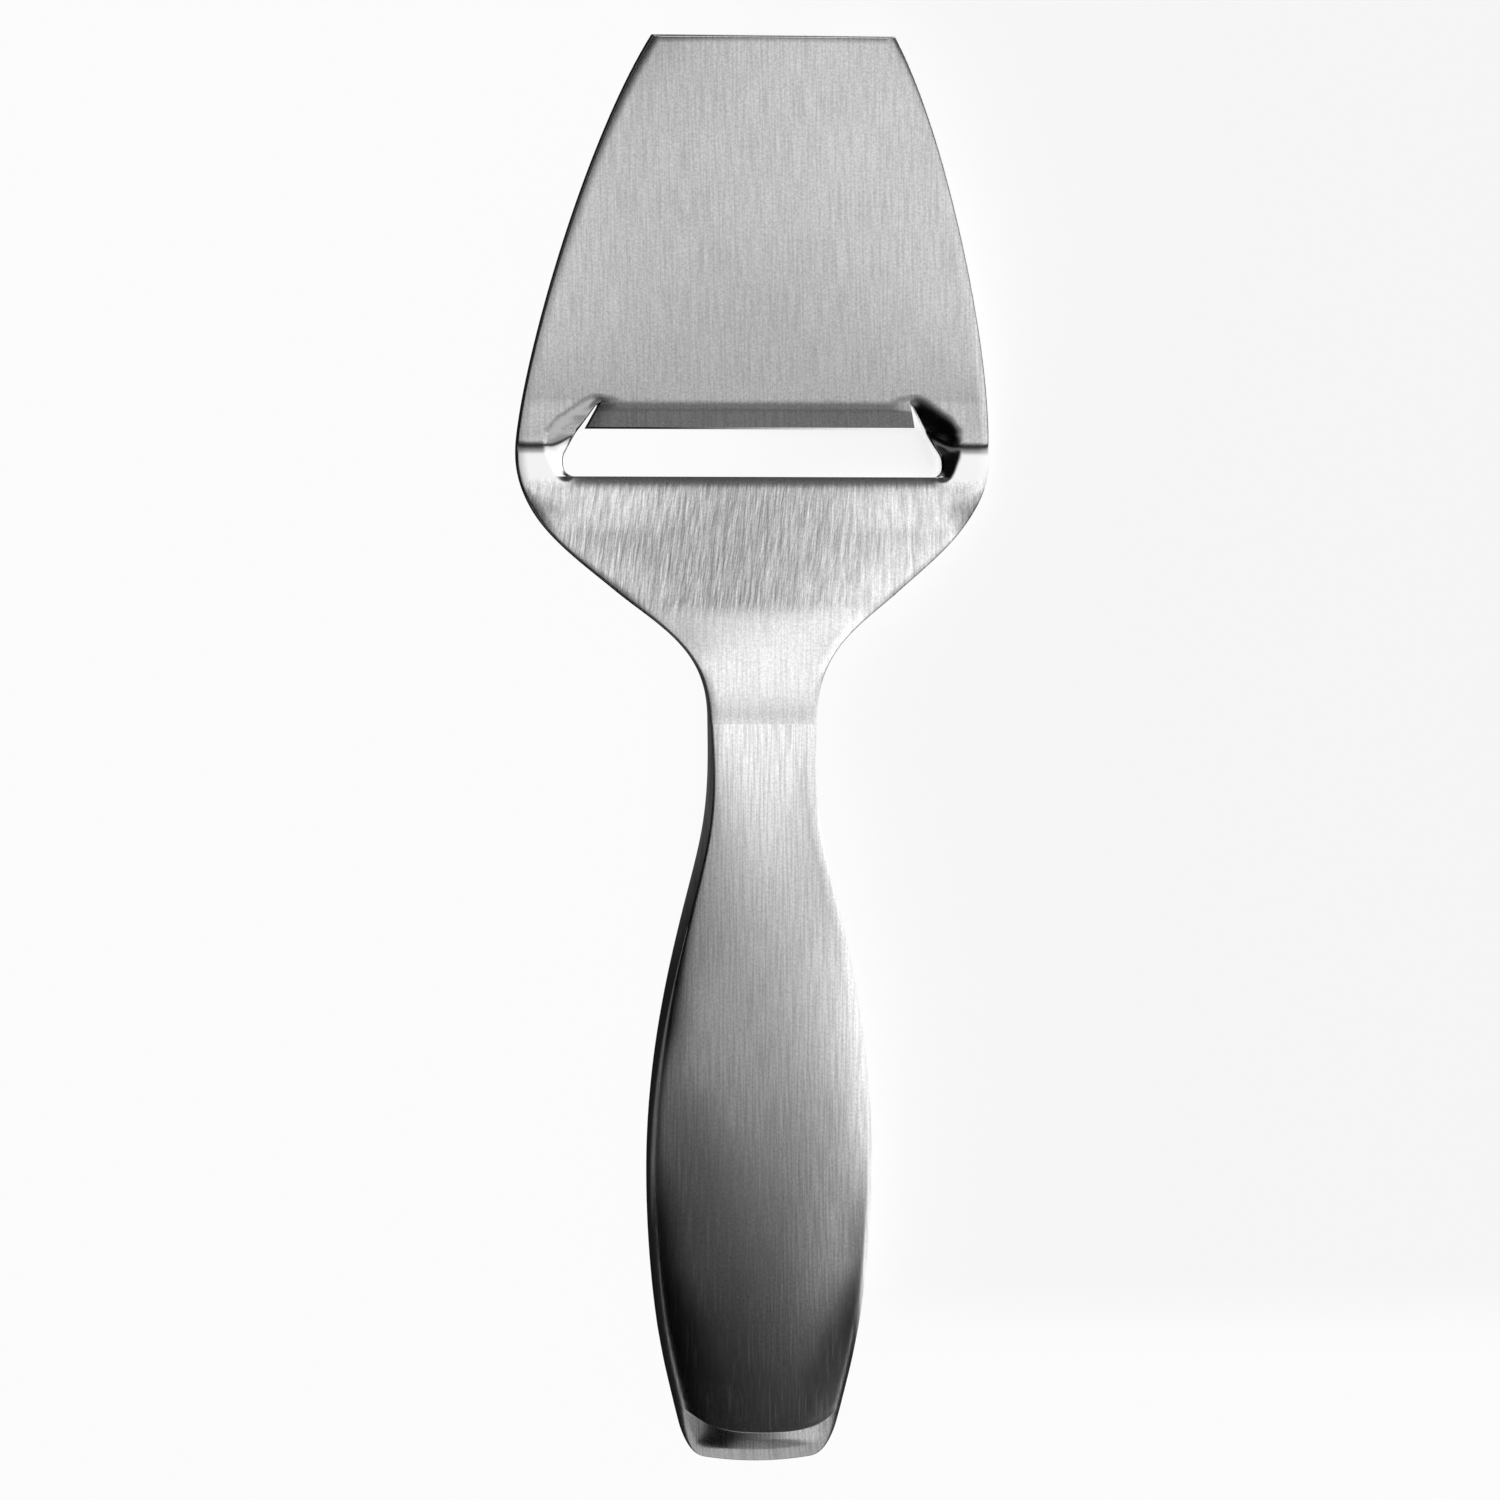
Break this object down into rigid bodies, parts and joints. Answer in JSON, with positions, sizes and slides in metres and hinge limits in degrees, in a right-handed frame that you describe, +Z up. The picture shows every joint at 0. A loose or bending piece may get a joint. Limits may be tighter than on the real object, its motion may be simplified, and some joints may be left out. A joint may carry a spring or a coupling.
{
  "type": "cheese slicer",
  "caption": "All-steel cheese slicer with a slotted blade plate, a bent cutting lip, a narrow neck and a broad hollow handle, for shaving slices off a block of cheese.",
  "frame": {"origin": "on the surface that the slicer lies on, under the middle of its length", "axes": "+Y towards the tip of the head, +X to the right seen from above, +Z up"},
  "size_m": [0.0858, 0.25, 0.0187],
  "materials": {
    "steel": "brushed lengthwise, satin",
    "cement": "cast, hidden inside the handle"
  },
  "bodies": {
    "root": {"blade_plate": "steel", "handle_top_shell": "steel", "handle_bottom_shell": "steel", "tang_cement": "cement"}
  },
  "joints": []
}
